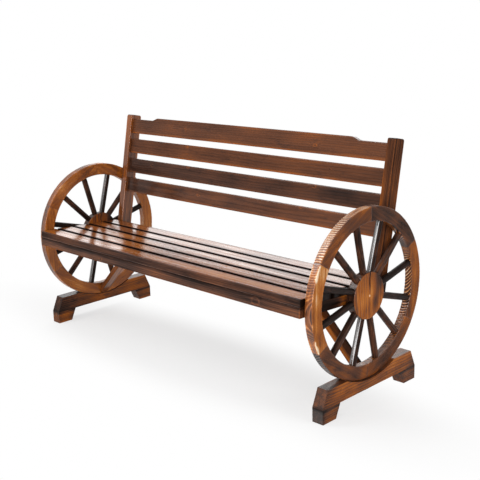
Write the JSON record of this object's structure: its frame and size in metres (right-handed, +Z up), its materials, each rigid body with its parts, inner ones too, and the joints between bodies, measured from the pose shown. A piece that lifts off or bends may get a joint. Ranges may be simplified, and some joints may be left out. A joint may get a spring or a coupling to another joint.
{
  "type": "garden bench",
  "caption": "wooden garden bench with a slatted seat and back held between two spoked wagon wheels, in charred, lacquered red-brown and orange-brown timber",
  "frame": {"origin": "on the floor, midway between the two wheels and midway between the front and the rear of the bench", "axes": "+X along the seat to the sitter's left, which is the right-hand wheel in the picture; the front faces -Y; +Z up"},
  "size_m": [1.492, 0.589, 0.8445],
  "materials": {
    "wheel_wood": "charred, brushed and lacquered to a gloss, orange-brown with burnt patches",
    "spoke_wood": "charred, brushed and lacquered to a gloss, near-black brown",
    "foot_wood": "charred, brushed and lacquered to a gloss, orange-brown",
    "seat_wood": "charred, brushed and lacquered to a gloss, dark red-brown",
    "back_wood": "charred, brushed and lacquered to a gloss, red-brown",
    "post_wood": "charred, brushed and lacquered to a gloss, brown",
    "frame_wood": "charred, brushed and lacquered to a gloss, brown",
    "dowel_wood": "bare turned hardwood",
    "screw_steel": "zinc-plated, dull"
  },
  "bodies": {
    "root": {"back_slat_1": "back_wood", "back_slat_2": "back_wood", "back_slat_3": "back_wood", "crest_rail": "back_wood", "foot_screws": "screw_steel", "front_apron": "seat_wood", "hub_screws": "screw_steel", "left_back_post": "post_wood", "left_felloe_1": "wheel_wood", "left_felloe_2": "wheel_wood", "left_felloe_3": "wheel_wood", "left_felloe_4": "wheel_wood", "left_felloe_5": "wheel_wood", "left_felloe_6": "wheel_wood", "left_felloe_dowels": "dowel_wood", "left_foot_beam": "foot_wood", "left_foot_dowels": "dowel_wood", "left_front_foot_block": "foot_wood", "left_hub": "wheel_wood", "left_knee_brace": "frame_wood", "left_rear_foot_block": "foot_wood", "left_seat_bearer": "frame_wood", "left_side_rail": "frame_wood", "left_spokes_1": "spoke_wood", "left_spokes_2": "spoke_wood", "left_spokes_3": "spoke_wood", "left_spokes_4": "spoke_wood", "left_spokes_5": "spoke_wood", "left_spokes_6": "spoke_wood", "post_screws": "screw_steel", "rear_seat_rail": "frame_wood", "right_back_post": "post_wood", "right_felloe_1": "wheel_wood", "right_felloe_2": "wheel_wood", "right_felloe_3": "wheel_wood", "right_felloe_4": "wheel_wood", "right_felloe_5": "wheel_wood", "right_felloe_6": "wheel_wood", "right_felloe_dowels": "dowel_wood", "right_foot_beam": "foot_wood", "right_foot_dowels": "dowel_wood", "right_front_foot_block": "foot_wood", "right_hub": "wheel_wood", "right_knee_brace": "frame_wood", "right_rear_foot_block": "foot_wood", "right_seat_bearer": "frame_wood", "right_side_rail": "frame_wood", "right_spokes_1": "spoke_wood", "right_spokes_2": "spoke_wood", "right_spokes_3": "spoke_wood", "right_spokes_4": "spoke_wood", "right_spokes_5": "spoke_wood", "right_spokes_6": "spoke_wood", "seat_screws": "screw_steel", "seat_slat_1": "seat_wood", "seat_slat_2": "seat_wood", "seat_slat_3": "seat_wood", "seat_slat_4": "seat_wood", "seat_slat_5": "seat_wood"}
  },
  "joints": []
}
